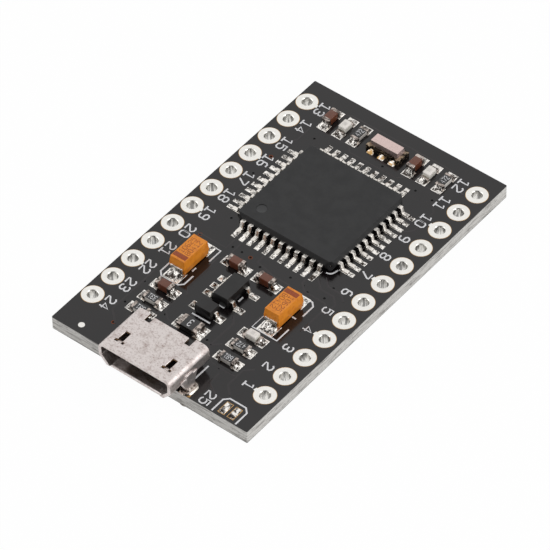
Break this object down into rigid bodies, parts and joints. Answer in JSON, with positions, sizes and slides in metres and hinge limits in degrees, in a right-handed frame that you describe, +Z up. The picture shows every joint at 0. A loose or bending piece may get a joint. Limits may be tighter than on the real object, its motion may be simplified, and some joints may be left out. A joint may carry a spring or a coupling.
{
  "type": "microcontroller development board",
  "caption": "Small black microcontroller development board with a square flat-pack chip, two rows of plated header holes and a micro USB receptacle at one end.",
  "frame": {"origin": "middle of the bounding box at the underside of the board", "axes": "+Z up out of the component side, +Y from the USB receptacle to the rear edge along the pin rows, +X across the board, with the receptacle's mouth facing -Y"},
  "size_m": [0.0202, 0.0358, 0.0038],
  "materials": {
    "laminate": "matte glass-fibre laminate, sawn edge",
    "solder_mask": "satin black solder mask",
    "tinned_copper": "bright tin over copper",
    "receptacle_shell": "dull nickel-plated steel",
    "black_moulding": "matte black moulding compound",
    "tinned_leads": "bright tin",
    "silicon": "polished silicon, sealed inside",
    "tantalum_resin": "orange moulded resin",
    "ceramic_capacitor": "fired brown ceramic with metal ends",
    "chip_resistor": "black glaze on white ceramic with tinned ends",
    "led_lens": "milky clear resin",
    "resonator_can": "pinkish grey metal lid on a ceramic base"
  },
  "bodies": {
    "root": {"board_core": "laminate", "solder_mask_top": "solder_mask", "solder_mask_bottom": "solder_mask", "pin_hole_plating_01": "tinned_copper", "pin_hole_plating_02": "tinned_copper", "pin_hole_plating_03": "tinned_copper", "pin_hole_plating_04": "tinned_copper", "pin_hole_plating_05": "tinned_copper", "pin_hole_plating_06": "tinned_copper", "pin_hole_plating_07": "tinned_copper", "pin_hole_plating_08": "tinned_copper", "pin_hole_plating_09": "tinned_copper", "pin_hole_plating_10": "tinned_copper", "pin_hole_plating_11": "tinned_copper", "pin_hole_plating_12": "tinned_copper", "pin_hole_plating_13": "tinned_copper", "pin_hole_plating_14": "tinned_copper", "pin_hole_plating_15": "tinned_copper", "pin_hole_plating_16": "tinned_copper", "pin_hole_plating_17": "tinned_copper", "pin_hole_plating_18": "tinned_copper", "pin_hole_plating_19": "tinned_copper", "pin_hole_plating_20": "tinned_copper", "pin_hole_plating_21": "tinned_copper", "pin_hole_plating_22": "tinned_copper", "pin_hole_plating_23": "tinned_copper", "pin_hole_plating_24": "tinned_copper", "usb_shell": "receptacle_shell", "usb_insulator": "black_moulding", "mcu_body": "black_moulding", "regulator_body": "black_moulding", "diode": "black_moulding", "usb_contacts": "tinned_leads", "mcu_leads_right": "tinned_leads", "mcu_leads_rear": "tinned_leads", "mcu_leads_left": "tinned_leads", "mcu_leads_front": "tinned_leads", "mcu_paddle": "tinned_leads", "regulator_leads": "tinned_leads", "tantalum_left_terminals": "tinned_leads", "tantalum_right_terminals": "tinned_leads", "mcu_die": "silicon", "tantalum_left_body": "tantalum_resin", "tantalum_right_body": "tantalum_resin", "capacitor_regulator_left": "ceramic_capacitor", "capacitor_regulator_right": "ceramic_capacitor", "capacitor_usb_side": "ceramic_capacitor", "capacitor_rear_left": "ceramic_capacitor", "capacitor_rear_right": "ceramic_capacitor", "fuse": "chip_resistor", "resistor_usb_data_1": "chip_resistor", "resistor_usb_data_2": "chip_resistor", "resistor_power_led": "chip_resistor", "resistor_pull_up": "chip_resistor", "resistor_led_left": "chip_resistor", "resistor_led_right": "chip_resistor", "led_power": "led_lens", "led_signal_left": "led_lens", "led_signal_right": "led_lens", "resonator": "resonator_can"}
  },
  "joints": []
}
